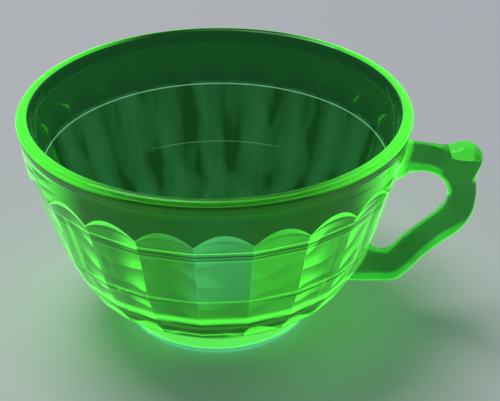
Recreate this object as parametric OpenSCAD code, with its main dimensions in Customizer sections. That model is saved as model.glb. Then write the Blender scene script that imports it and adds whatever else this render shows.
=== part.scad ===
// Footed tea cup in pressed glass: a panelled bowl with a plain band at its top, a
// rounded rim, a low foot ring, and an angular handle with a thumb rest.
// Origin: centre of the foot ring's resting face.  +Z up, the handle on +X.

/* [Bowl] */
// Outside diameter over the rim
rim_d = 95; // [90:0.5:100]
// Height from the resting face to the top of the rim
cup_h = 57.2; // [54:0.1:60]
// Number of flat panels round the outside
panel_count = 22; // [18:2:26]
// Height of the arched tops of the panels
arch_top = 48.7; // [47:0.1:49]
// Height of the cusps between two arches
arch_cusp = 45.3; // [44.5:0.1:46]
// Thickness of the wall at the middle of a panel
wall = 2.3; // [2:0.1:3]
// Thickness of the floor
floor_t = 4.4; // [3.5:0.1:5]
// Width of the two ledges that ring the inside
ledge_w = 0.45; // [0.3:0.05:0.6]

/* [Rim] */
// Thickness of the rounded rim
lip_t = 3.3; // [3:0.1:3.6]
// Height of the rounded rim above the plain band
lip_h = 3.6; // [3.4:0.1:4]

/* [Foot] */
// Outside diameter of the foot ring
foot_d = 47.6; // [44:0.1:50]
// Width of the foot ring
foot_w = 3.6; // [3:0.1:4.5]
// Height of the foot ring
foot_h = 4.6; // [4:0.1:5]

/* [Handle] */
// Reach of the handle from the axis of the cup
handle_reach = 64.8; // [62:0.1:68]
// Height of the top of the thumb rest
handle_top = 48.6; // [47:0.1:49]
// Width of the handle from side to side, about its average
handle_w = 7; // [6:0.1:8]

/* [Hidden] */
$fn = 96;

glass_green = [0.30, 0.92, 0.26];

rim_r = rim_d / 2;
foot_r = foot_d / 2;
lip_r = lip_t / 2;
lip_centre = [rim_r - lip_r, cup_h - lip_r];
rim_start = cup_h - lip_h;
// How far the rim stands out past the band below it
lip_overhang = 0.5;
half_pitch = 180 / panel_count;

// Slopes of the three tiers of the panels, in millimetres out per millimetre up
tier_slope = [0.58, 0.425, 0.28];
// Heights of the two creases between the tiers
tier_z = [18, 26];
// Height of the turn from the lowest tier to the underside
turn_z = 12;

// Plain round band above the panels: its radius at the tops of the arches and its
// slope, in millimetres out per millimetre up.  It grows steeper at band_turn_z.
arch_r = rim_r - 1.05;
body_slope = 0.156;
band_turn_z = 49.5;
// Radius of the round body at height z, between the cusps and band_turn_z
function body_r(z) = arch_r + (z - arch_top) * body_slope;

// Distance from the axis to the flat of a panel at each crease, top to bottom.
// The flats meet the round body at arch_top on their middles.
flat_upper = arch_r - (arch_top - tier_z[1]) * tier_slope[2];
flat_lower = flat_upper - (tier_z[1] - tier_z[0]) * tier_slope[1];
flat_turn = flat_lower - (tier_z[0] - turn_z) * tier_slope[0];
corner_factor = 1 / cos(half_pitch);

// Distance from the axis to the flat of a panel at height z
function flat_r(z) =
    z > tier_z[1] ? flat_upper + (z - tier_z[1]) * tier_slope[2]
    : z > tier_z[0] ? flat_lower + (z - tier_z[0]) * tier_slope[1]
    : flat_turn + (z - turn_z) * tier_slope[0];

// How far the round form stays outside the panels below the cusps
body_clearance = 1.5;
// Underside from the foot ring's upper edge to the turn: steps out and up
underside_steps = [[1, 0.9], [4, 3.2]];
// How much the foot ring narrows from its resting face to the bowl
foot_draft = 0.4;
foot_chamfer = 0.5;

// Inside of the cup
floor_z = foot_h + floor_t;
ledge_z = [26.7, 42.4];
ledge_rise = 0.2;
// The flat floor ends at floor_edge, and a curve that leans towards the radius
// floor_corner turns it into the wall
floor_edge = 20;
floor_corner = 29;
floor_curve_steps = 12;

// Steps of the arc round the rim
lip_steps = 14;

// How far one form runs past another that cuts it
overrun = 2;

// Points of a polyhedron ring with one corner per panel boundary
function panel_ring(z) =
    [for (i = [0 : panel_count - 1])
        let (a = half_pitch + i * 2 * half_pitch, r = flat_r(z) * corner_factor)
        [r * cos(a), r * sin(a), z]];

// Faces of a stack of rings of n points each, closed at both ends
function ring_faces(n, rings) = concat(
    [[for (i = [0 : n - 1]) i]],
    [for (k = [0 : rings - 2], i = [0 : n - 1])
        let (a = k * n + i, b = k * n + (i + 1) % n) [a, a + n, b + n]],
    [for (k = [0 : rings - 2], i = [0 : n - 1])
        let (a = k * n + i, b = k * n + (i + 1) % n) [a, b + n, b]],
    [[for (i = [n - 1 : -1 : 0]) (rings - 1) * n + i]]);

// One flat side for each panel, in three tiers that lean outwards
module panel_body() {
    levels = [foot_h - overrun, tier_z[0], tier_z[1], rim_start + overrun];
    polyhedron(
        points = [for (z = levels) each panel_ring(z)],
        faces = ring_faces(panel_count, len(levels)),
        convexity = 4);
}

// Round form that the panels are cut into, from the foot to the rim
module round_body() {
    foot_edge = [foot_r - foot_draft, foot_h];
    rotate_extrude()
        polygon([
            [0, foot_h],
            foot_edge,
            foot_edge + underside_steps[0],
            foot_edge + underside_steps[1],
            [flat_turn * corner_factor, turn_z],
            [flat_lower * corner_factor + body_clearance, tier_z[0]],
            [flat_upper * corner_factor + body_clearance, tier_z[1]],
            [body_r(arch_cusp), arch_cusp],
            [body_r(band_turn_z), band_turn_z],
            [rim_r - lip_overhang, rim_start],
            [0, rim_start]
        ]);
}

module bowl_outside() {
    intersection() {
        round_body();
        panel_body();
    }
}

// Radius of the inside at height z, before the ledges
function inside_r(z) = flat_r(z) - wall;

// Points along an arc about centre, from angle a to angle b
function arc(centre, r, a, b, steps) =
    [for (i = [0 : steps]) let (t = a + (b - a) * i / steps) centre + r * [cos(t), sin(t)]];

// Points along a curve from a to c that leans towards b
function bend(a, b, c, steps) =
    [for (i = [0 : steps])
        let (t = i / steps) a * (1 - t) * (1 - t) + b * 2 * t * (1 - t) + c * t * t];

// Hollow of the cup up to the top of the rim
module cup_inside() {
    lip_in = rim_r - lip_t;
    low_r = inside_r(ledge_z[0]) - ledge_w;
    mid_r = inside_r(ledge_z[1]) - ledge_w;
    wall_foot = [inside_r(tier_z[0]), tier_z[0]];
    rotate_extrude()
        polygon(concat(
            [[0, floor_z]],
            bend([floor_edge, floor_z], [floor_corner, floor_z], wall_foot,
                floor_curve_steps),
            [
                [low_r, ledge_z[0] - ledge_rise],
                [low_r + ledge_w, ledge_z[0]],
                [mid_r, ledge_z[1] - ledge_rise],
                [mid_r + ledge_w, ledge_z[1]],
                [lip_in, lip_centre[1]],
                [lip_in, cup_h + overrun],
                [0, cup_h + overrun]
            ]));
}

// Panelled wall with the plain band above it, and the floor
module bowl() {
    color(glass_green)
        difference() {
            bowl_outside();
            cup_inside();
        }
}

// Rounded rim on top of the plain band
module rim() {
    ledge_r = inside_r(ledge_z[1]);
    inner_slope = (rim_r - lip_t - ledge_r) / (lip_centre[1] - ledge_z[1]);
    inner_low = ledge_r + (rim_start - ledge_z[1]) * inner_slope;
    color(glass_green)
        rotate_extrude()
            polygon(concat(
                [[inner_low, rim_start], [rim_r - lip_overhang, rim_start]],
                arc(lip_centre, lip_r, -30, 180, lip_steps)));
}

// Low ring that the cup stands on, chamfered at its resting face
module foot_ring() {
    inner_r = foot_r - foot_w;
    color(glass_green)
        rotate_extrude()
            polygon([
                [inner_r + foot_chamfer, 0],
                [foot_r - foot_chamfer, 0],
                [foot_r, foot_chamfer],
                [foot_r - foot_draft, foot_h],
                [inner_r - foot_draft, foot_h],
                [inner_r, foot_chamfer]
            ]);
}

// Handle in its own plane: [inner edge, outer edge, width] from the upper root to
// the lower root.  Both ends run into the bowl, which trims them.  It is drawn at
// the sizes in drawn_reach, drawn_top and drawn_w, and stretched from them.
drawn_reach = 64.8;
drawn_top = 48.6;
drawn_w = 7;
handle_pairs = [
    [[42.0, 37.0], [42.0, 48.7], 9.6],
    [[45.2, 39.1], [45.8, 48.4], 8.6],
    [[47.2, 40.6], [48.6, 48.1], 7.4],
    [[50.2, 41.2], [52.6, 47.7], 6.8],
    [[53.2, 40.5], [56.8, 47.5], 7.0],
    [[55.5, 38.8], [60.1, 48.6], 8.0],
    [[56.6, 36.9], [62.8, 47.9], 8.2],
    [[57.1, 35.0], [64.8, 45.3], 7.6],
    [[57.0, 33.3], [63.8, 40.2], 6.9],
    [[56.6, 31.7], [64.2, 34.8], 6.8],
    [[55.4, 29.8], [63.7, 29.8], 6.8],
    [[53.2, 27.3], [61.2, 25.1], 6.8],
    [[50.3, 24.5], [56.6, 20.9], 6.8],
    [[46.9, 21.1], [52.3, 16.4], 6.8],
    [[44.3, 18.1], [49.0, 12.1], 6.9],
    [[42.3, 16.9], [46.1, 9.3], 7.0],
    [[40.4, 17.1], [41.4, 8.7], 7.3],
    [[38.6, 18.3], [36.5, 8.5], 8.2],
    [[34.5, 20.6], [30.0, 8.7], 9.4]
];
handle_stretch = [handle_reach / drawn_reach, handle_top / drawn_top];
width_stretch = handle_w / drawn_w;

// Steps between two pairs of the outline
curve_steps = 3;
// Corners of the handle's cross-section
section_sides = 16;
// Squareness of the cross-section: 1 is a diamond, 2 an ellipse, more is boxier
section_power = 2.6;

// Point on a smooth curve through b and c, with neighbours a and d, at t from 0 to 1
function curve_point(a, b, c, d, t) =
    0.5 * (2 * b + (c - a) * t + (2 * a - 5 * b + 4 * c - d) * t * t
        + (3 * b - a - 3 * c + d) * t * t * t);

function handle_pair(i) = handle_pairs[max(0, min(len(handle_pairs) - 1, i))];

// Value k of the pairs at s, which counts pairs, with fractions between them
function handle_value(k, s) =
    let (i = min(floor(s), len(handle_pairs) - 2))
    curve_point(handle_pair(i - 1)[k], handle_pair(i)[k],
        handle_pair(i + 1)[k], handle_pair(i + 2)[k], s - i);

// Edge 0 is the inner one and edge 1 the outer one
function handle_edge(edge, s) =
    let (p = handle_value(edge, s))
    [p[0] * handle_stretch[0], p[1] * handle_stretch[1]];

// Signed power, which squares up a circle into a superellipse
function square_up(v) = sign(v) * pow(abs(v), 2 / section_power);

// One ring of the handle: a superellipse between the two edges
function handle_ring(s) =
    let (inner = handle_edge(0, s), outer = handle_edge(1, s),
        middle = (inner + outer) / 2, reach = (outer - inner) / 2,
        half_w = handle_value(2, s) * width_stretch / 2)
    [for (i = [0 : section_sides - 1])
        let (a = i * 360 / section_sides, u = square_up(cos(a)), v = square_up(sin(a)))
        [middle[0] + reach[0] * u, v * half_w, middle[1] + reach[1] * u]];

// Whole handle before the bowl trims its roots
module handle_loft() {
    spans = len(handle_pairs) - 1;
    rings = [for (k = [0 : spans * curve_steps]) handle_ring(k / curve_steps)];
    polyhedron(
        points = [for (r = rings) each r],
        faces = ring_faces(section_sides, len(rings)),
        convexity = 6);
}

// Space over the corner of the handle that the thumb rest fills: a wedge with a
// slanted end towards the bowl, wider than the handle
thumb_rest_outline = [[54.8, 51], [57.2, 46.1], [67, 45.2], [67, 51]];
module thumb_rest_space() {
    rotate([90, 0, 0])
        linear_extrude(height = 3 * handle_w, center = true)
            scale(handle_stretch)
                polygon(thumb_rest_outline);
}

module handle() {
    color(glass_green)
        difference() {
            handle_loft();
            bowl_outside();
            thumb_rest_space();
        }
}

module thumb_rest() {
    color(glass_green)
        intersection() {
            handle_loft();
            thumb_rest_space();
        }
}

bowl();
rim();
foot_ring();
handle();
thumb_rest();
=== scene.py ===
"""Pressed uranium-glass tea cup: the visual model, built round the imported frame.

Each of the five pieces is one closed mesh: bowl, rim, foot ring, handle and thumb rest.
Where two of them meet, both carry a face with join = 1. The glass shader leaves those
faces out, so that light crosses from one piece to the next as in a single pressing.
Lengths are in millimetres until a mesh is made.
"""
import math

import bmesh
import bpy
import numpy as np
from mathutils import Matrix, Vector


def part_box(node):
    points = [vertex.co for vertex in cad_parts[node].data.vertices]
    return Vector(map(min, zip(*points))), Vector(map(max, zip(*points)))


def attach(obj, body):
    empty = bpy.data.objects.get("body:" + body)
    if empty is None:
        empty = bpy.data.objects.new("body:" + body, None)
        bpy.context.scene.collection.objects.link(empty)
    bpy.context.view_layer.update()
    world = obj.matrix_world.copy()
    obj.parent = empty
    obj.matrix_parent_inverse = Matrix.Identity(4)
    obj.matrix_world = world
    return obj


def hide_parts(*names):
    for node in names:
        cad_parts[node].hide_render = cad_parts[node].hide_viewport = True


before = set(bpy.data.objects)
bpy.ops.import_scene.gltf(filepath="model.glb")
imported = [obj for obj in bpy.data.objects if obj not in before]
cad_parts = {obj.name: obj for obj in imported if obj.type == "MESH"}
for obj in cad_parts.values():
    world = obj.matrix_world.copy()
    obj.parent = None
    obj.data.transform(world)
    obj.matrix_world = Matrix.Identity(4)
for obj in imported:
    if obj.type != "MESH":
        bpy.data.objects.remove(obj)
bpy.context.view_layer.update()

MM = 0.001


def node_box(node):
    """Lowest and highest corner of a CAD node, in millimetres."""
    return [np.array(corner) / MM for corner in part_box(node)]


RIM_LOW, RIM_HIGH = node_box("rim")
FOOT_HIGH = node_box("foot_ring")[1]

# ---------------------------------------------------------------- driving sizes
RIM_R = RIM_HIGH[0]
CUP_H = RIM_HIGH[2]
RIM_START = RIM_LOW[2]
FOOT_R = FOOT_HIGH[0]
FOOT_H = FOOT_HIGH[2]

# Half the gap between two joined pieces
JOIN_GAP = 0.001

# Outside of the bowl: flat panels in three tiers under a plain round band
PANELS = 22
HALF = math.pi / PANELS
TIER_Z = (18.0, 26.0)
TIER_SLOPE = (0.58, 0.425, 0.28)
CREASE_WIDTH = 0.5
CORNER_WIDTH = 0.006
ARCH_TOP = 48.7
ARCH_R = RIM_R - 1.05
BAND_SLOPE = 0.156
BAND_TURN = 49.5
NECK_R = RIM_R - 0.5
# The panels are pressed in under their arches by a small bevel that fades out
BEVEL_DEPTH = 0.32
BEVEL_SHARPNESS = 9.0
BEVEL_FADE = (28.0, 42.0)
# Underside between the foot and the turn into the lowest tier: radius, height
UNDERSIDE = ((27.4, 7.8), (33.65, 12.0))

# Rim
LIP_R = 1.65
LIP_CENTRE = (RIM_R - LIP_R, CUP_H - LIP_R)

# Inside of the bowl
WALL = 2.3
FLOOR_Z = FOOT_H + 4.4
FLOOR_EDGE = 20.0
FLOOR_CORNER = 29.0
LEDGE_Z = (26.7, 42.4)
LEDGE_WIDTH = (0.12, 0.2)
LEDGE_RISE = 0.25

# Foot ring
FOOT_WIDTH = 3.6
FOOT_DRAFT = 0.4
RECESS_DEPTH = 0.5


# ---------------------------------------------------------------- small maths
def soft(v, width):
    """v where it is positive and 0 where it is negative, rounded over width."""
    return 0.5 * (v + np.sqrt(v * v + width * width))


def soft_min(a, b, width):
    """The lesser of a and b, rounded over width."""
    return 0.5 * (a + b - np.sqrt((a - b) ** 2 + width * width))


def smoothstep(low, high, v):
    """Smooth step from 0, at low, to 1, at high."""
    t = np.clip((v - low) / (high - low), 0, 1)
    return t * t * (3 - 2 * t)


def root_of(f, low, high):
    """Where f turns from negative to positive between the arrays low and high."""
    for _ in range(40):
        middle = 0.5 * (low + high)
        below = f(middle) < 0
        low, high = np.where(below, middle, low), np.where(below, high, middle)
    return 0.5 * (low + high)


def arc(centre, radius, start, end, steps):
    """Points (r, z) along an arc, angles in degrees."""
    t = np.radians(np.linspace(start, end, steps))
    return np.stack([centre[0] + radius * np.cos(t), centre[1] + radius * np.sin(t)], 1)


def bend(a, b, c, steps):
    """Points (r, z) along a curve from a to c that leans towards b."""
    t = np.linspace(0, 1, steps)[:, None]
    return np.array(a) * (1 - t) ** 2 + 2 * np.array(b) * t * (1 - t) + np.array(c) * t * t


# ---------------------------------------------------------------- outside of the bowl
def flat_r(z):
    """Distance from the axis to the flat of a panel, with rounded creases."""
    upper = ARCH_R - (ARCH_TOP - TIER_Z[1]) * TIER_SLOPE[2]
    lower = upper - (TIER_Z[1] - TIER_Z[0]) * TIER_SLOPE[1]
    r = lower + (z - TIER_Z[0]) * TIER_SLOPE[0]
    r = r + (TIER_SLOPE[1] - TIER_SLOPE[0]) * soft(z - TIER_Z[0], CREASE_WIDTH)
    return r + (TIER_SLOPE[2] - TIER_SLOPE[1]) * soft(z - TIER_Z[1], CREASE_WIDTH)


def band_r(z):
    """Radius of the plain band."""
    steeper = (NECK_R - ARCH_R - (BAND_TURN - ARCH_TOP) * BAND_SLOPE) / (RIM_START - BAND_TURN)
    return ARCH_R + (z - ARCH_TOP) * BAND_SLOPE + (steeper - BAND_SLOPE) * soft(z - BAND_TURN, 0.8)


def underside_r(z):
    """Radius of the underside between the foot and the turn."""
    (r0, z0), (r1, z1) = UNDERSIDE
    return r0 + (z - z0) * (r1 - r0) / (z1 - z0)


def corner_factor(phi):
    """How much further out than its middle a panel is, at angle phi from it."""
    edge = HALF - np.abs(phi)
    return 1 / np.cos(HALF - np.sqrt(edge * edge + CORNER_WIDTH ** 2))


def outside_r(z, phi):
    """Radius of the bowl's outside at height z and angle phi from a panel's middle."""
    panel = flat_r(z) * corner_factor(phi)
    depth = soft(band_r(z) - panel, 0.01)
    bevel = BEVEL_DEPTH * (1 - np.exp(-BEVEL_SHARPNESS * depth)) * smoothstep(*BEVEL_FADE, z)
    r = soft_min(underside_r(z), panel - bevel, 0.12)
    return np.where(z > TIER_Z[1], soft_min(r, band_r(z), 0.03), r)


def arch_z(phi):
    """Height of the arch over a panel at angle phi from its middle."""
    low, high = np.full_like(phi, TIER_Z[1]), np.full_like(phi, RIM_START)
    return root_of(lambda z: flat_r(z) * corner_factor(phi) - band_r(z), low, high)


def turn_z(phi):
    """Height where the underside meets the lowest tier."""
    low, high = np.full_like(phi, 9.0), np.full_like(phi, 14.0)
    return root_of(lambda z: underside_r(z) - flat_r(z) * corner_factor(phi), low, high)


def columns():
    """Angle of each mesh column, and its angle from the middle of its panel."""
    share = np.array([0, 0.02, 0.06, 0.14, 0.3, 0.5, 0.75])
    local = np.concatenate([-1 + share, [0], 1 - share[:0:-1]]) * HALF
    phi = np.tile(local, PANELS)
    return np.repeat(np.arange(PANELS) * 2 * HALF, len(local)) + phi, phi


THETA, PHI = columns()


def rows_between(low, high, shares):
    """Rows of heights at the given shares of the way from low to high."""
    return low + np.array(shares)[:, None] * (high - low)


def outside_rows():
    """Bowl's outside from the underside to the rim, as rows of radii and heights."""
    level = np.ones_like(PHI)
    turn, arch = turn_z(PHI), arch_z(PHI)
    bevel_shares = [0.9, 0.93, 0.95, 0.965, 0.975, 0.985, 0.992, 0.997]
    z = np.concatenate([
        rows_between(UNDERSIDE[0][1] * level, turn, [0, 0.3, 0.6, 0.85, 0.93, 0.98]),
        rows_between(turn, TIER_Z[0] * level, [0, 0.02, 0.06, 0.15, 0.35, 0.6, 0.85, 0.93, 0.98]),
        rows_between(TIER_Z[0] * level, TIER_Z[1] * level,
                     [0, 0.02, 0.06, 0.15, 0.4, 0.65, 0.86, 0.94, 0.98]),
        rows_between(TIER_Z[1] * level, arch,
                     [0, 0.01, 0.03, 0.08, *np.arange(0.15, 0.88, 0.07), *bevel_shares]),
        rows_between(arch, (RIM_START - JOIN_GAP) * level,
                     [0, 0.01, 0.02, 0.05, 0.1, 0.2, 0.3, 0.42, 0.55, 0.7, 0.85, 0.95, 0.99, 1])])
    r = outside_r(z, PHI)
    r[-1] = NECK_R
    return r, z


# ---------------------------------------------------------------- profiles (r, z)
def inside_wall_r(z):
    """Inside radius between the curve of the floor and the upper ledge."""
    return flat_r(z) - WALL


def inside_top_r(z):
    """Inside radius above the upper ledge, where the wall swells into the rim."""
    ledge, lip_in = inside_wall_r(LEDGE_Z[1]), RIM_R - 2 * LIP_R
    return ledge + (lip_in - ledge) * (z - LEDGE_Z[1]) / (LIP_CENTRE[1] - LEDGE_Z[1])


def ledge(r_top, r_low, z):
    """Rounded step from the wall above a ledge to the wall below it."""
    t = np.linspace(0, 1, 7)[1:-1]
    drop = smoothstep(0, 1, t)
    return np.stack([r_top + (r_low - r_top) * t, z - LEDGE_RISE * drop], 1)


def straight(a, b, shares):
    """Points (r, z) at the given shares of the way from a to b."""
    t = np.array(shares)[:, None]
    return np.array(a) * (1 - t) + np.array(b) * t


def inside_profile():
    """Bowl's inside from the rim down to the flat of the floor."""
    dense = [0, 0.01, 0.03, *np.arange(0.08, 0.95, 0.07), 0.97, 0.99, 1]
    z0, z1 = RIM_START - JOIN_GAP, LEDGE_Z[1]
    upper = straight((inside_top_r(z0), z0), (inside_top_r(z1), z1), dense)
    r1 = inside_wall_r(z1) - LEDGE_WIDTH[1]
    r2 = inside_wall_r(LEDGE_Z[0])
    middle = straight((r1, z1 - LEDGE_RISE), (r2, LEDGE_Z[0]), dense)
    r3 = r2 - LEDGE_WIDTH[0]
    foot = (inside_wall_r(TIER_Z[0]), TIER_Z[0])
    lower = straight((r3, LEDGE_Z[0] - LEDGE_RISE), foot, [0, 0.02, 0.06, 0.15, 0.3, 0.5, 0.7, 0.85])
    floor = bend(foot, (FLOOR_CORNER, FLOOR_Z), (FLOOR_EDGE, FLOOR_Z), 20)
    flat = [(r, FLOOR_Z) for r in (17, 14, 11, 8, 5, 2.5)]
    ledges = ledge(upper[-1, 0], r1, z1), ledge(r2, r3, LEDGE_Z[0])
    return np.concatenate([upper, ledges[0], middle, ledges[1], lower, floor, flat])


def recess_profile():
    """Underside inside the foot ring, from the axis outwards."""
    inner = FOOT_R - FOOT_WIDTH - FOOT_DRAFT
    return np.array([(r, FOOT_H + RECESS_DEPTH * (1 - (r / inner) ** 2)) for r in np.linspace(1, inner, 10)])


def fillet_profile():
    """Underside from the foot ring's outer edge out to the turn's lower end."""
    start = (FOOT_R - FOOT_DRAFT, FOOT_H + JOIN_GAP)
    end = (UNDERSIDE[0][0] - 0.3, UNDERSIDE[0][1] - 0.22)
    return bend(start, (FOOT_R - 0.1, FOOT_H + 1.1), end, 9)


def rim_profile():
    """Rim from its joint on the outside, over the lip, to its joint on the inside."""
    z0 = RIM_START + JOIN_GAP
    neck = [(NECK_R, z0), (NECK_R + 0.02, z0 + 0.25), (NECK_R + 0.1, z0 + 0.6)]
    lip = arc(LIP_CENTRE, LIP_R, -28, 180, 26)
    inner = straight((RIM_R - 2 * LIP_R, LIP_CENTRE[1]), (inside_top_r(z0), z0), [0.3, 0.6, 0.9, 1])
    return np.concatenate([neck, lip, inner])


def foot_profile():
    """Foot ring from its joint on the inside, round the bottom, to the outside."""
    top, inner = FOOT_H - JOIN_GAP, FOOT_R - FOOT_WIDTH
    return np.concatenate([
        [(inner - FOOT_DRAFT, top), (inner - 0.36, top - 0.3), (inner - 0.2, 2.4)],
        arc((inner + 0.6, 0.6), 0.6, 180, 270, 8),
        arc((FOOT_R - 0.7, 0.7), 0.7, 270, 360, 9),
        [(FOOT_R - 0.08, 1.5), (FOOT_R - 0.2, 2.6), (FOOT_R - 0.33, 3.8)],
        [(FOOT_R - FOOT_DRAFT + 0.01, top - 0.3), (FOOT_R - FOOT_DRAFT, top)]])


# ---------------------------------------------------------------- meshes
def make_object(name, verts, faces, join):
    """Mesh object from points in millimetres; join is 1 on faces between pieces."""
    mesh = bpy.data.meshes.new(name)
    mesh.from_pydata((np.asarray(verts) * MM).tolist(), [], faces)
    mesh.attributes.new("join", "FLOAT", "FACE").data.foreach_set("value", join)
    ob = bpy.data.objects.new(name, mesh)
    bpy.context.scene.collection.objects.link(ob)
    return ob


def lathe(name, radii, heights, join_rows, poles=None):
    """Closed skin over the columns. Without poles, the last row joins the first."""
    rows, cols = radii.shape
    verts = np.stack([radii * np.cos(THETA), radii * np.sin(THETA), heights], -1).reshape(-1, 3)
    faces, join = [], []
    for i in range(rows if poles is None else rows - 1):
        up = (i + 1) % rows
        for j in range(cols):
            k = (j + 1) % cols
            faces.append((i * cols + j, i * cols + k, up * cols + k, up * cols + j))
            join.append(float(i in join_rows))
    if poles is not None:
        verts = np.concatenate([verts, [(0, 0, z) for z in poles]])
        first, last = rows * cols, (rows - 1) * cols
        faces += [(first, (j + 1) % cols, j) for j in range(cols)]
        faces += [(first + 1, last + j, last + (j + 1) % cols) for j in range(cols)]
        join += [0.0] * (2 * cols)
    return make_object(name, verts, faces, join)


def round_rows(profile):
    """Rows of a round profile over the columns."""
    return [profile[:, i:i + 1] * np.ones((1, len(PHI))) for i in (0, 1)]


def make_bowl():
    """Closed bowl, from the middle of its recess out, up and down to the middle of its floor."""
    parts = [round_rows(recess_profile()), round_rows(fillet_profile()), outside_rows(),
             round_rows(inside_profile())]
    radii, heights = (np.concatenate([part[i] for part in parts]) for i in (0, 1))
    ends = np.cumsum([len(part[0]) for part in parts])
    poles = (FOOT_H + RECESS_DEPTH, FLOOR_Z)
    return lathe("bowl_glass", radii, heights, {ends[0] - 1, ends[2] - 1}, poles)


def make_ring(name, profile):
    """Closed ring whose last row is joined to the first by the face towards the bowl."""
    return lathe(name, *round_rows(profile), {len(profile) - 1})


# Handle in its own plane: inner edge, outer edge and width, from root to root
HANDLE = [
    ((41.0, 36.6), (41.0, 48.7), 9.9), ((45.2, 39.1), (45.8, 48.4), 8.6), ((47.2, 40.6), (48.6, 48.1), 7.4),
    ((50.2, 41.2), (52.6, 47.7), 6.8), ((53.2, 40.5), (56.8, 47.5), 7.0), ((55.5, 38.8), (60.1, 48.6), 8.0),
    ((56.6, 36.9), (62.8, 47.9), 8.2), ((57.1, 35.0), (64.78, 45.3), 7.6), ((57.0, 33.3), (63.8, 40.2), 6.9),
    ((56.6, 31.7), (64.2, 34.8), 6.8), ((55.4, 29.8), (63.7, 29.8), 6.8), ((53.2, 27.3), (61.2, 25.1), 6.8),
    ((50.3, 24.5), (56.6, 20.9), 6.8), ((46.9, 21.1), (52.3, 16.4), 6.8), ((44.3, 18.1), (49.0, 12.1), 6.9),
    ((42.3, 16.9), (46.1, 9.3), 7.0), ((40.4, 17.1), (41.4, 8.7), 7.3), ((38.6, 18.3), (36.5, 8.5), 8.2),
    ((34.5, 20.6), (30.0, 8.7), 9.4)]
HANDLE_STEPS = 8
HANDLE_SIDES = 40
HANDLE_SQUARENESS = 2.6
# Block that cuts the thumb rest off the handle, in the handle's plane
THUMB_WEDGE = [(54.8, 51.0), (57.2, 46.1), (67.0, 45.2), (67.0, 51.0)]
WEDGE_HALF_WIDTH = 10
# Values of join on the solid bowl's faces, while the roots are cut
SKIN, END = 1.0, 3.0


def smooth_curve(values, s):
    """Catmull-Rom curve through the rows of values, at s in rows."""
    i = np.minimum(np.floor(s).astype(int), len(values) - 2)
    t = (s - i)[:, None]
    a, b, c, d = (values[np.clip(i + k, 0, len(values) - 1)] for k in (-1, 0, 1, 2))
    return 0.5 * (2 * b + (c - a) * t + (2 * a - 5 * b + 4 * c - d) * t ** 2
                  + (3 * b - a - 3 * c + d) * t ** 3)


def make_handle_loft():
    """Whole handle, with both ends run into the bowl."""
    table = np.array([[*inner, *outer, width] for inner, outer, width in HANDLE])
    spans = len(table) - 1
    values = smooth_curve(table, np.linspace(0, spans, spans * HANDLE_STEPS + 1))
    inner, outer, width = values[:, 0:2], values[:, 2:4], values[:, 4]
    angle = np.linspace(0, 2 * np.pi, HANDLE_SIDES, endpoint=False)
    along, across = (np.sign(f) * np.abs(f) ** (2 / HANDLE_SQUARENESS)
                     for f in (np.cos(angle), np.sin(angle)))
    middle, reach = (inner + outer) / 2, (outer - inner) / 2
    x, z = (middle[:, k:k + 1] + reach[:, k:k + 1] * along for k in (0, 1))
    verts = np.stack([x, np.outer(width / 2, across), z], -1).reshape(-1, 3)
    rings, n = len(values), HANDLE_SIDES
    faces = [tuple(reversed(range(n)))]
    for i in range(rings - 1):
        for j in range(n):
            k = (j + 1) % n
            faces.append((i * n + j, i * n + k, (i + 1) * n + k, (i + 1) * n + j))
    faces.append(tuple((rings - 1) * n + j for j in range(n)))
    return make_object("handle_loft", verts, faces, [0.0] * len(faces))


def make_wedge():
    """Block over the handle's corner that cuts the thumb rest off it."""
    n = len(THUMB_WEDGE)
    verts = [(x, y, z) for y in (-WEDGE_HALF_WIDTH, WEDGE_HALF_WIDTH) for x, z in THUMB_WEDGE]
    faces = [tuple(range(n)), tuple(reversed(range(n, 2 * n)))]
    faces += [(j, j + n, (j + 1) % n + n, (j + 1) % n) for j in range(n)]
    return make_object("wedge", verts, faces, [1.0] * len(faces))


def face_outwards(ob):
    """Turns every face of a closed mesh outwards."""
    bm = bmesh.new()
    bm.from_mesh(ob.data)
    bmesh.ops.recalc_face_normals(bm, faces=bm.faces)
    bm.to_mesh(ob.data)
    bm.free()


def combined(name, ob, other, operation):
    """New object: ob without the other object, or what the two share."""
    step = ob.modifiers.new("step", "BOOLEAN")
    step.operation, step.solver, step.object = operation, "EXACT", other
    depsgraph = bpy.context.evaluated_depsgraph_get()
    mesh = bpy.data.meshes.new_from_object(ob.evaluated_get(depsgraph))
    ob.modifiers.remove(step)
    mesh.name = name
    result = bpy.data.objects.new(name, mesh)
    bpy.context.scene.collection.objects.link(result)
    return result


def remove(*objects):
    """Deletes objects that were only needed for cutting."""
    for ob in objects:
        bpy.data.objects.remove(ob)


def shade(ob):
    """Smooth faces, apart from the flat faces between pieces."""
    join = np.zeros(len(ob.data.polygons), np.float32)
    ob.data.attributes["join"].data.foreach_get("value", join)
    ob.data.polygons.foreach_set("use_smooth", join < 0.5)


def solid_bowl():
    """Bowl's outside as one filled solid. Here join is SKIN on its skin and END on its ends."""
    parts = [round_rows(fillet_profile()), outside_rows()]
    radii, heights = (np.concatenate([part[i] for part in parts]) for i in (0, 1))
    ob = lathe("solid_bowl", radii, heights, (), (FOOT_H + JOIN_GAP, RIM_START - JOIN_GAP))
    skin = (len(radii) - 1) * len(PHI)
    join = np.array([SKIN] * skin + [END] * (2 * len(PHI)))
    ob.data.attributes["join"].data.foreach_set("value", join)
    return ob


def add_faces(bm, ob, join, flip=False):
    """Adds to bm the faces of ob that come from the solid bowl's skin, with a new join value."""
    part = bmesh.new()
    part.from_mesh(ob.data)
    layer = part.faces.layers.float["join"]
    unwanted = [f for f in part.faces if f[layer] != SKIN]
    bmesh.ops.delete(part, geom=unwanted, context="FACES")
    for f in part.faces:
        f[layer] = join
        if flip:
            f.normal_flip()
    step = bpy.data.meshes.new("step")
    part.to_mesh(step)
    part.free()
    bm.from_mesh(step)
    bpy.data.meshes.remove(step)


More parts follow.
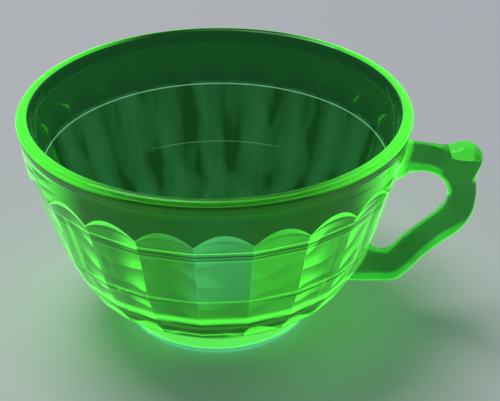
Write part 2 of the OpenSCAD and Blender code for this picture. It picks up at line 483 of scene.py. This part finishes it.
def join_roots(bowl, solid, loft, handle):
    """Marks the bowl's faces under the handle's roots, cut out along their outlines."""
    first_row, cols = len(recess_profile()), len(PHI)
    skin_rows = len(fillet_profile()) + len(outside_rows()[0]) - 1
    skin = set(range(first_row * cols, (first_row + skin_rows) * cols))
    opened = combined("opened", solid, loft, "DIFFERENCE")
    bm = bmesh.new()
    bm.from_mesh(bowl.data)
    bm.faces.ensure_lookup_table()
    bmesh.ops.delete(bm, geom=[f for f in bm.faces if f.index in skin], context="FACES")
    add_faces(bm, opened, join=0.0)
    add_faces(bm, handle, join=1.0, flip=True)
    bmesh.ops.remove_doubles(bm, verts=bm.verts, dist=1e-7)
    bm.to_mesh(bowl.data)
    bm.free()
    remove(opened)


def make_glass_pieces():
    """The five closed pieces of glass, by the node that each stands for."""
    bowl, solid, loft, wedge = make_bowl(), solid_bowl(), make_handle_loft(), make_wedge()
    for ob in (bowl, solid, loft, wedge):
        face_outwards(ob)
    trimmed = combined("trimmed", loft, solid, "DIFFERENCE")
    join_roots(bowl, solid, loft, trimmed)
    handle = combined("handle_glass", trimmed, wedge, "DIFFERENCE")
    thumb = combined("thumb_rest_glass", loft, wedge, "INTERSECT")
    handle.data.transform(Matrix.Translation((2 * JOIN_GAP * MM, 0, 0)))
    thumb.data.transform(Matrix.Translation((2 * JOIN_GAP * MM, 0, 2 * JOIN_GAP * MM)))
    remove(solid, loft, wedge, trimmed)
    rim, foot = make_ring("rim_glass", rim_profile()), make_ring("foot_ring_glass", foot_profile())
    for ob in (rim, foot):
        face_outwards(ob)
    pieces = {"bowl": bowl, "rim": rim, "foot_ring": foot, "handle": handle, "thumb_rest": thumb}
    for ob in pieces.values():
        shade(ob)
        measure(ob)
    return pieces


# The calm front of the pattern of light is turned from -Y towards the handle
LIGHT_TURN = math.radians(6.5)
# Panels differ in brightness: swing from one to the next, and the panel at mid-swing
PANEL_SWING = 0.9
BRIGHTENING_PANEL = 17
# The handle glows where it faces one of these ways: down and outwards, or down and inwards
UNDER = ((0.55, 0.0, -0.83), (-0.50, 0.0, -0.87))


def measure(ob):
    """Stores on each point what the glass shader reads.

    seam: 0 on the middle of a panel, 1 on its boundary
    below_arch: millimetres below the arch of its panel
    outside: 1 on the bowl's outside and underside, 0 on its inside
    lip_angle: degrees round the lip's middle, 0 outwards, 90 up and 180 inwards
    light_share: 0 on the dimmest panels and 1 on the brightest
    across: -1 to 1 over a panel, 1 on the edge nearer the cup's front or back
    side: 0 at the calm front and back, 1 at the bright left and right
    leaf_side: the same with the front at -Y
    off_bowl: millimetres off the bowl's skin
    under: how nearly the surface faces one of the UNDER ways, up to 1
    """
    mesh = ob.data
    count = len(mesh.vertices)
    co, normal = np.zeros(count * 3), np.zeros(count * 3)
    mesh.vertices.foreach_get("co", co)
    mesh.vertex_normals.foreach_get("vector", normal)
    x, y, z = co.reshape(-1, 3).T / MM
    panel, phi = np.divmod(np.mod(np.arctan2(y, x), 2 * np.pi) + HALF, 2 * HALF)
    phi -= HALF
    r = np.hypot(x, y)
    mid_wall_r = np.minimum(flat_r(z), underside_r(z)) - WALL / 2
    lip_angle = np.degrees(np.arctan2(z - LIP_CENTRE[1], r - LIP_CENTRE[0]))
    values = {"seam": np.abs(phi) / HALF,
              "below_arch": arch_z(phi) - z,
              "outside": (z < FLOOR_Z - 0.05) | (r > mid_wall_r),
              "lip_angle": np.mod(lip_angle + 90, 360) - 90,
              "across": phi / HALF * np.where(x * y < 0, -1, 1),
              "light_share": 0.5 + 0.5 * np.sin(PANEL_SWING * (panel - BRIGHTENING_PANEL)),
              "side": np.abs(np.cos(np.arctan2(y, x) - LIGHT_TURN)),
              "leaf_side": np.abs(x) / np.maximum(r, 1),
              "off_bowl": r - outside_r(z, phi),
              "under": (normal.reshape(-1, 3) @ np.array(UNDER).T).max(1)}
    for name, value in values.items():
        mesh.attributes.new(name, "FLOAT", "POINT").data.foreach_set("value", value.astype(np.float32))


# ---------------------------------------------------------------- materials
class Nodes:
    """Short ways to add nodes to a material's tree."""

    def __init__(self, name):
        self.material = bpy.data.materials.new(name)
        self.material.use_nodes = True
        self.tree = self.material.node_tree
        self.tree.nodes.clear()

    def add(self, kind, **settings):
        node = self.tree.nodes.new(kind)
        for key, value in settings.items():
            setattr(node, key, value)
        return node

    def link(self, source, target):
        self.tree.links.new(source, target)

    def put(self, socket, value):
        """Sets a socket to a number, or links it to another node's output."""
        if isinstance(value, bpy.types.NodeSocket):
            self.link(value, socket)
        else:
            socket.default_value = value

    def maths(self, operation, *values):
        """Result of a maths node."""
        node = self.add("ShaderNodeMath", operation=operation)
        for socket, value in zip(node.inputs, values):
            self.put(socket, value)
        return node.outputs[0]

    def attribute(self, name):
        """What measure() or make_object() stored under the name."""
        return self.add("ShaderNodeAttribute", attribute_name=name).outputs["Fac"]

    def place(self, axis):
        """Place along an axis, X, Y or Z, in millimetres."""
        split = self.add("ShaderNodeSeparateXYZ")
        self.link(self.add("ShaderNodeTexCoord").outputs["Object"], split.inputs[0])
        return self.maths("DIVIDE", split.outputs[axis], MM)

    def front(self):
        """1 where the glass is seen from the air and 0 where it is seen from within."""
        return self.maths("SUBTRACT", 1.0, self.add("ShaderNodeNewGeometry").outputs["Backfacing"])

    def product(self, *values):
        result = values[0]
        for value in values[1:]:
            result = self.maths("MULTIPLY", result, value)
        return result

    def total(self, *values):
        result = values[0]
        for value in values[1:]:
            result = self.maths("ADD", result, value)
        return result

    def line(self, value, at, half_width, strength=1.0):
        """Strength where value is at, falling to 0 half a width either side."""
        return self.product(self.ramp(value, at - half_width, at),
                            self.ramp(value, at + half_width, at), strength)

    def noise(self, scale):
        """Noise with the given number of grains to a metre."""
        node = self.add("ShaderNodeTexNoise")
        self.link(self.add("ShaderNodeTexCoord").outputs["Object"], node.inputs["Vector"])
        node.inputs["Scale"].default_value = scale
        return node.outputs["Fac"]

    def streaks(self, around, along):
        """Noise with its own scale around the cup and along the height."""
        stretch = self.add("ShaderNodeMapping")
        self.link(self.add("ShaderNodeTexCoord").outputs["Object"], stretch.inputs["Vector"])
        stretch.inputs["Scale"].default_value = (around, around, along)
        node = self.add("ShaderNodeTexNoise")
        self.link(stretch.outputs[0], node.inputs["Vector"])
        node.inputs["Scale"].default_value = 1.0
        return node.outputs["Fac"]

    def ramp(self, value, low, high, out_low=0.0, out_high=1.0):
        """Smooth step of value from low to high, between the two outputs."""
        node = self.add("ShaderNodeMapRange", interpolation_type="SMOOTHSTEP")
        for name, number in (("Value", value), ("From Min", low), ("From Max", high),
                             ("To Min", out_low), ("To Max", out_high)):
            self.put(node.inputs[name], number)
        return node.outputs["Result"]

    def mixed(self, share, a, b):
        """Colour between a, at share 0, and b, at share 1."""
        node = self.add("ShaderNodeMix", data_type="RGBA")
        self.put(node.inputs[0], share)
        self.put(node.inputs[6], (*a, 1) if isinstance(a, tuple) else a)
        self.put(node.inputs[7], (*b, 1) if isinstance(b, tuple) else b)
        return node.outputs[2]


# Colours of the glass's own light in its volume (VOLUME_GLOW), of the light painted on its surface, with
# PALE_GLOW and TEAL_GLOW for painted highlights and lines, and of what its surface reflects
SURFACE_GLOW = (0.085, 1.0, 0.045)
FOOT_GLOW = (0.145, 1.0, 0.13)
VOLUME_GLOW = (0.27, 1.0, 0.20)
PALE_GLOW = (0.45, 1.0, 0.65)
TEAL_GLOW = (0.18, 1.0, 0.62)
INSIDE_GLOW = (0.11, 1.0, 0.24)
REFLECTION = (0.2, 0.6, 0.28)
# The glass takes up light again along a long way through it
VOLUME_LOSS = 150
VOLUME_CLEAR = (0.47, 0.55, 0.03)
GLASS_IOR = 1.5
# The surface is a little uneven, as in an old pressing
SURFACE_GRAIN = 90
SURFACE_BUMP = 0.05
ROUGHNESS = (0.015, 0.04)


def glass(name, tint, volume_glow, surface_glow, volume_loss=VOLUME_LOSS):
    """Uranium glass with a light of its own.

    tint(n) gives what the surface lets through, and surface_glow(n) the colour and
    strength of the light painted on the surface. volume_glow and volume_loss are per metre.
    """
    n = Nodes(name)
    shader = n.add("ShaderNodeBsdfPrincipled")
    shader.inputs["IOR"].default_value = GLASS_IOR
    shader.inputs["Transmission Weight"].default_value = 1.0
    shader.inputs["Specular Tint"].default_value = (*REFLECTION, 1)
    n.link(tint(n), shader.inputs["Base Color"])
    n.put(shader.inputs["Alpha"], n.maths("SUBTRACT", 1.0, n.attribute("join")))
    colour, strength = surface_glow(n)
    n.put(shader.inputs["Emission Color"], (*colour, 1) if isinstance(colour, tuple) else colour)
    n.put(shader.inputs["Emission Strength"], strength)

    grain = n.noise(SURFACE_GRAIN)
    bump = n.add("ShaderNodeBump")
    bump.inputs["Strength"].default_value = SURFACE_BUMP
    bump.inputs["Distance"].default_value = MM
    n.link(grain, bump.inputs["Height"])
    n.link(bump.outputs["Normal"], shader.inputs["Normal"])
    n.put(shader.inputs["Roughness"], n.ramp(grain, 0.3, 0.7, *ROUGHNESS))

    light = n.add("ShaderNodeEmission")
    light.inputs["Color"].default_value = (*VOLUME_GLOW, 1)
    light.inputs["Strength"].default_value = volume_glow
    loss = n.add("ShaderNodeVolumeAbsorption")
    loss.inputs["Color"].default_value = (*VOLUME_CLEAR, 1)
    loss.inputs["Density"].default_value = volume_loss
    both = n.add("ShaderNodeAddShader")
    n.link(light.outputs[0], both.inputs[0])
    n.link(loss.outputs[0], both.inputs[1])
    out = n.add("ShaderNodeOutputMaterial")
    n.link(shader.outputs[0], out.inputs["Surface"])
    n.link(both.outputs[0], out.inputs["Volume"])
    return n.material


# What each surface lets through. Over the bowl and the lip these change from place to place, as painted shade
# and light.
INNER = (0.006, 0.050, 0.017)
INNER_AT_ROOT = (0.0004, 0.0035, 0.0012)
BAND = (0.015, 0.10, 0.03)
BAND_WITHIN = (0.012, 0.046, 0.055)
PANEL = (0.09, 0.40, 0.18)
PANEL_WITHIN = (0.19, 0.80, 0.40)
STREAK_WITHIN = (0.004, 0.02, 0.008)
TIER = (0.006, 0.035, 0.012)
LIP_TOP = (0.0002, 0.001, 0.0002)
LIP_SIDE = (0.00003, 0.00015, 0.00003)
LIP_INSIDE = (0.000003, 0.000015, 0.00001)
FOOT = (0.012, 0.06, 0.02)
HANDLE_TINT = (0.012, 0.06, 0.045)

# Where the look of the bowl changes, besides its tiers and ledges
TURN_Z = UNDERSIDE[1][1]
NECK_FADE = (51.5, 53.5)
# Grains to a metre of uneven light, around the cup and up its height
WALL_STREAKS = (160, 5)
BAND_STREAKS = (60, 500)
# Painted shade on the inside behind the handle's roots: middle and half of their height, the half
# widths between which they fade in, and where along X they do
ROOTS_Z = ((42.5, 9.0), (14.5, 8.0))
ROOT_HALF_WIDTH = (7.5, 4.0)
ROOT_X = (18, 22)
# Waves of light up the panels: their pitch, and how far they are shifted by noise,
# from a dim to a bright panel, and over half a panel
WAVE_PITCH = 6.0
WAVE_NOISE = 13.0
WAVE_STEP = 5.0
WAVE_LEAN = 1.8
# Crescent of light under an arch: thickness in the middle, and loss of it at the ends
CRESCENT_THICKNESS = 1.7
CRESCENT_TAPER = 1.5
# Leaf of light on the lowest tier: its foot and its height
LEAF_Z = TURN_Z + 0.6
LEAF_HEIGHT = 3.4


def bowl_tint(n):
    """Painted shade and light in what the surface lets through: dark on the inside, the band and the lowest
    tier, and lighter on the panels.
    """
    height = n.place("Z")
    below_ledge = n.ramp(height, LEDGE_Z[1] + 0.3, LEDGE_Z[1] - 0.3)
    # Painted shade seen from within the glass, as on the far wall: dark streaks along the panel seams and in
    # noise between lighter panels below the upper ledge, and a dark band above it
    streak = n.total(n.ramp(n.attribute("seam"), 0.1, 0.95, 0.0, 0.75),
                     n.ramp(n.streaks(*WALL_STREAKS), 0.4, 0.62, -0.15, 0.45))
    within = n.mixed(below_ledge, BAND_WITHIN, n.mixed(streak, PANEL_WITHIN, STREAK_WITHIN))
    panel = n.ramp(n.attribute("below_arch"), -0.1, 0.2)
    tier = n.ramp(height, TIER_Z[0] + 0.5, TIER_Z[0] - 0.1)
    dark = n.maths("MAXIMUM", tier, ledge_shadow(n))
    outer = n.mixed(dark, n.mixed(panel, BAND, PANEL), TIER)
    inner = n.mixed(behind_root(n), INNER, INNER_AT_ROOT)
    return n.mixed(n.attribute("outside"), inner, n.mixed(n.front(), within, outer))


def behind_root(n):
    """1 on the inside behind the handle's roots, where painted shade keeps them from shining through the
    wall.
    """
    height, off_middle = n.place("Z"), n.maths("ABSOLUTE", n.place("Y"))
    roots = n.total(*(n.line(height, middle, half) for middle, half in ROOTS_Z))
    return n.product(roots, n.ramp(off_middle, *ROOT_HALF_WIDTH), n.ramp(n.place("X"), *ROOT_X))


def ledge_shadow(n):
    """Dark lines where the inside ledges show through the panels."""
    height = n.place("Z")
    upper = n.total(n.line(height, LEDGE_Z[1] - 0.6, 0.5, 0.95), n.line(height, LEDGE_Z[1] - 1.5, 0.4, 0.8))
    lower = n.product(n.line(height, LEDGE_Z[0] - 0.5, 0.5), n.ramp(n.attribute("side"), 0.15, 0.45))
    return n.total(upper, lower)


def waves(n, side):
    """Bright waves over the panels towards the left and right, each with a sharp lower edge."""
    across, share = n.attribute("across"), n.attribute("light_share")
    place = n.total(n.place("Z"), n.product(n.noise(60), WAVE_NOISE), n.product(share, WAVE_STEP),
                    n.product(across, WAVE_LEAN))
    wave = n.maths("FRACT", n.maths("DIVIDE", place, WAVE_PITCH))
    fade = n.product(n.ramp(wave, 1.0, 0.2, 0.15, 1.0), n.ramp(wave, 0.0, 0.1))
    start = n.ramp(n.place("X"), -10, 10, -0.1, -0.6)
    return n.product(fade, n.ramp(side, 0.25, 0.45, 0.1, 0.82), n.ramp(across, start, 0.9, 0.08, 1.0))


def arches(n, side):
    """A bright crescent under each arch, and the dark line under the crescent."""
    seam = n.attribute("seam")
    thickness = n.maths("SUBTRACT", CRESCENT_THICKNESS, n.product(seam, seam, CRESCENT_TAPER))
    depth = n.maths("DIVIDE", n.attribute("below_arch"), thickness)
    crescent = n.product(n.ramp(depth, -0.05, 0.1), n.ramp(depth, 1.05, 0.9),
                         n.ramp(side, 0.3, 0.6, 0.08, 0.72))
    return crescent, n.product(n.line(depth, 1.35, 0.45), n.ramp(side, 0.2, 0.55, 0.25, 0.95))


def leaves(n):
    """A bright leaf on each panel of the lowest tier, on the edge nearer the front or back."""
    across = n.attribute("across")
    top = n.product(n.ramp(across, -1.0, 0.5, 0.0, LEAF_HEIGHT), n.ramp(across, 1.0, 0.8, 0.5, 1.0))
    depth = n.maths("SUBTRACT", n.maths("ADD", top, LEAF_Z), n.place("Z"))
    return n.product(n.ramp(depth, 0.0, 0.4), n.ramp(n.attribute("leaf_side"), 0.12, 0.3), 0.7)


def panel_light(n, side):
    """Light on the panels: even, in waves, in crescents and along their lower end."""
    height = n.place("Z")
    on_panel = n.product(n.ramp(n.attribute("below_arch"), -0.05, 0.15),
                         n.ramp(height, TIER_Z[0] - 0.1, TIER_Z[0] + 0.5))
    even = n.product(n.ramp(n.attribute("light_share"), 0.0, 1.0, 0.09, 0.26),
                     n.ramp(side, 0.38, 0.6, 1.0, 0.4),
                     n.ramp(height, TIER_Z[1] - 2, TIER_Z[1] + 8, 0.6, 1.0),
                     n.ramp(n.noise(130), 0.3, 0.7, 0.85, 1.15))
    crescent, shadow = arches(n, side)
    low = n.line(height, TIER_Z[0] + 1.7, 1.8, 0.8)
    edge = n.ramp(n.attribute("seam"), 0.95, 1.0, 0.0, 0.08)
    # Painted light: a faint bright line under the upper ledge
    pale = n.line(height, LEDGE_Z[1] - 2.2, 0.35, 0.15)
    lit = n.maths("MAXIMUM", n.maths("SUBTRACT", 1.0, n.total(shadow, ledge_shadow(n))), 0.0)
    return n.product(n.total(even, waves(n, side), crescent, low, edge, pale), on_panel, lit)


def low_light(n, side):
    """Light below the panels: a line over the turn, the underside, and the lowest tier."""
    height = n.place("Z")
    line = n.line(height, TURN_Z + 1.4, 0.5, 0.6)
    underside = n.product(n.ramp(height, TURN_Z + 0.5, TURN_Z - 0.5), n.ramp(side, 0.35, 0.6, 0.15, 0.4))
    on_tier = n.product(n.ramp(height, TURN_Z - 0.2, TURN_Z + 0.2), n.ramp(height, TIER_Z[0], TIER_Z[0] - 1))
    tier = n.product(on_tier, n.total(leaves(n), n.ramp(side, 0.62, 0.78, 0.0, 0.5)))
    return n.total(line, underside, tier)


def band_light(n, side):
    """Streaks of light on the band's left and right, and a trace of it under the rim."""
    band = n.product(n.ramp(n.attribute("below_arch"), 0.0, -0.3), n.ramp(side, 0.6, 0.88),
                     n.ramp(n.streaks(*BAND_STREAKS), 0.38, 0.52, 0.05, 0.8))
    return n.total(band, n.ramp(n.place("Z"), *NECK_FADE, 0.0, 0.03))


def bowl_glow(n):
    """Painted light on the bowl's outside, and a fine pale painted highlight along each inside ledge."""
    height, side, outside = n.place("Z"), n.attribute("side"), n.attribute("outside")
    outer = n.total(panel_light(n, side), low_light(n, side), band_light(n, side), 0.02)
    # Painted highlights: fine pale lines along the inside ledges
    ledges = n.total(n.line(height, LEDGE_Z[1] - 0.1, 0.18, 0.4),
                     n.product(n.line(height, LEDGE_Z[0] - 0.1, 0.15, 0.15), n.ramp(side, 0.55, 0.3)))
    inside = n.maths("SUBTRACT", 1.0, outside)
    # Painted highlight: towards the front and back, above the lowest tier, the painted light turns blue-green
    blue_green_highlight = n.product(n.ramp(side, 0.1, 0.22, 0.45, 0.0), n.ramp(height, TIER_Z[1] - 2, TIER_Z[1] + 4))
    colour = n.mixed(inside, n.mixed(blue_green_highlight, SURFACE_GLOW, TEAL_GLOW), PALE_GLOW)
    return colour, n.product(n.total(n.product(outer, outside), n.product(ledges, inside)), n.front())


# Bright lines round the lip: lip angle, half width and strength
FRONT_LINES = ((28, 9, 0.2), (63, 13, 0.18))
BACK_LINE = (74, 24, 0.75)
# Strength of the light on the lip's top at the left and right, and on its inside
TOP_STRENGTH = 0.74
INSIDE_STRENGTH = 0.048


def lip_tint(n):
    """Light leaves the lip mostly through its top."""
    angle = n.attribute("lip_angle")
    top = n.product(n.ramp(angle, 5, 25), n.ramp(angle, 140, 115))
    return n.mixed(n.ramp(angle, 120, 132), n.mixed(top, LIP_SIDE, LIP_TOP), LIP_INSIDE)


def lip_glow(n):
    """Thin bright lines round the lip, whose top is bright all over at the left and right."""
    angle = n.attribute("lip_angle")
    side = n.ramp(n.attribute("side"), 0.35, 0.85)
    back = n.ramp(n.place("Y"), -10, 10)
    in_front = n.total(*(n.line(angle, *line) for line in FRONT_LINES))
    behind = n.line(angle, *BACK_LINE)
    lines = n.maths("ADD", in_front, n.product(back, n.maths("SUBTRACT", behind, in_front)))
    top = n.product(n.ramp(angle, 0, 12), side, TOP_STRENGTH)
    base = n.ramp(angle, -5, 10, 0.09, 0.03)
    inside = n.ramp(angle, 120, 136)
    outer = n.product(n.total(lines, top, base), n.maths("SUBTRACT", 1.0, inside))
    glow = n.total(outer, n.product(inside, INSIDE_STRENGTH))
    return n.mixed(inside, SURFACE_GLOW, INSIDE_GLOW), n.product(glow, n.front())


# Top of the painted blue-green light along the foot's lower edge
FOOT_LINE_Z = (1.6, 1.2)


def foot_glow(n):
    """Bright, with a line of painted blue-green light along the lower edge."""
    height = n.place("Z")
    low = n.ramp(height, *FOOT_LINE_Z)
    bright = n.product(n.ramp(low, 0.0, 1.0, 0.62, 0.3), n.ramp(height, FOOT_H - 0.2, FOOT_H - 0.7, 0.1, 1.0))
    return n.mixed(low, FOOT_GLOW, TEAL_GLOW), n.product(bright, n.front())


# Strength of the light on the handle's underside, seen from within and from the air
UNDER_STRENGTH = (2.4, 0.5)
# Between these places along X the thumb rest goes from dim to bright
THUMB_FADE = (63.2, 61.8)


def handle_glow(n):
    """Bright along the underside and at the roots, most of all through the glass."""
    under = n.product(n.ramp(n.attribute("under"), 0.4, 0.6), n.ramp(n.front(), 0.0, 1.0, *UNDER_STRENGTH))
    root = n.product(n.ramp(n.attribute("off_bowl"), 2.2, 1.0, 0.0, 0.45), n.front())
    return SURFACE_GLOW, n.total(under, root, 0.02)


def thumb_glow(n):
    """Bright towards the cup, and darker at the outer end."""
    return SURFACE_GLOW, n.product(n.ramp(n.place("X"), *THUMB_FADE, 0.06, 0.36), n.front())


def plain_tint(colour, least=0.75):
    """The same tint all over, a little uneven as in an old pressing."""
    darker = tuple(least * c for c in colour)
    return lambda n: n.mixed(n.ramp(n.noise(60), 0.35, 0.65), darker, colour)


# What glass() is given for each piece
# The volume glow of the rim and the foot ring, far stronger than that of the bowl and the handle, is painted
# light in what is one glass
MATERIALS = {
    "bowl": ("bowl_glass", bowl_tint, 80, bowl_glow),
    "rim": ("rim_glass", lip_tint, 380, lip_glow, 45),
    "foot_ring": ("foot_glass", plain_tint(FOOT), 250, foot_glow),
    "handle": ("handle_glass", plain_tint(HANDLE_TINT, 0.5), 100, handle_glow),
    "thumb_rest": ("thumb_glass", plain_tint(HANDLE_TINT), 100, thumb_glow),
}


# ---------------------------------------------------------------- stage, in metres
FLOOR_SIZE = 6
FLOOR_GAP = 0.0002
FLOOR_COLOUR = (0.72, 0.73, 0.75)
SKY_COLOUR = (0.8, 0.87, 1.0)
SKY_STRENGTH = 0.22

# Camera fitted to the photo. Distance and height are in cup radii, and angles in degrees
CAMERA_DISTANCE = 6.5
AIM_HEIGHT = 0.3
CAMERA_ELEVATION = 33.24
CAMERA_TURN = 6.51
CAMERA_PAN = -1.59
CAMERA_TILT = 2.44
CAMERA_ROLL = 1.09
SENSOR_WIDTH, LENS = 36, 85.9


def make_stage():
    """Pale floor, an even soft sky and a large soft light."""
    bpy.ops.mesh.primitive_plane_add(size=FLOOR_SIZE, location=(0, 0, -FLOOR_GAP))
    floor = bpy.context.object
    floor.name = "floor"
    n = Nodes("pale_floor")
    shader = n.add("ShaderNodeBsdfPrincipled")
    shader.inputs["Base Color"].default_value = (*FLOOR_COLOUR, 1)
    shader.inputs["Roughness"].default_value = 0.7
    out = n.add("ShaderNodeOutputMaterial")
    n.link(shader.outputs[0], out.inputs["Surface"])
    floor.data.materials.append(n.material)

    world = bpy.data.worlds.new("studio")
    world.use_nodes = True
    sky = world.node_tree.nodes["Background"]
    sky.inputs["Color"].default_value = (*SKY_COLOUR, 1)
    sky.inputs["Strength"].default_value = SKY_STRENGTH
    bpy.context.scene.world = world
    soft_light("key", place=(-0.3, 0.25, 1.1), size=0.6, power=6.0)


def soft_light(name, place, size, power):
    """Square light that faces the cup."""
    light = bpy.data.lights.new(name, "AREA")
    light.energy, light.size = power, size
    ob = bpy.data.objects.new(name, light)
    ob.location = place
    ob.rotation_euler = (-Vector(place)).to_track_quat("-Z", "Y").to_euler()
    bpy.context.scene.collection.objects.link(ob)


def make_camera():
    """Camera above and in front of the cup, with the handle turned a little away."""
    elevation, turn = math.radians(CAMERA_ELEVATION), math.radians(CAMERA_TURN)
    pan, tilt, roll = (math.radians(a) for a in (CAMERA_PAN, CAMERA_TILT, CAMERA_ROLL))
    back, up_from_aim = CAMERA_DISTANCE * math.cos(elevation), CAMERA_DISTANCE * math.sin(elevation)
    place = Vector((0, -back, AIM_HEIGHT + up_from_aim)) * (RIM_R * MM)
    forward, right = Vector((0, math.cos(elevation), -math.sin(elevation))), Vector((1, 0, 0))
    up = right.cross(forward)
    aim = Matrix((right, up, -forward)).transposed()
    aim = aim @ Matrix.Rotation(pan, 3, "Y") @ Matrix.Rotation(tilt, 3, "X") @ Matrix.Rotation(-roll, 3, "Z")
    around = Matrix.Rotation(turn, 3, "Z")
    data = bpy.data.cameras.new("camera")
    data.sensor_width, data.lens = SENSOR_WIDTH, LENS
    camera = bpy.data.objects.new("camera", data)
    camera.matrix_world = Matrix.Translation(around @ place) @ (around @ aim).to_4x4()
    bpy.context.scene.collection.objects.link(camera)
    bpy.context.scene.camera = camera


# ---------------------------------------------------------------- scene
scene = bpy.context.scene
scene.view_settings.view_transform = "Standard"
# A ray crosses many surfaces before it is out of the glass
scene.cycles.max_bounces = 24
scene.cycles.glossy_bounces = 16
scene.cycles.transmission_bounces = 24
scene.cycles.transparent_max_bounces = 32
make_stage()
make_camera()
for node, piece in make_glass_pieces().items():
    piece.data.materials.clear()
    piece.data.materials.append(glass(*MATERIALS[node]))
    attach(piece, "root")
    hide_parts(node)
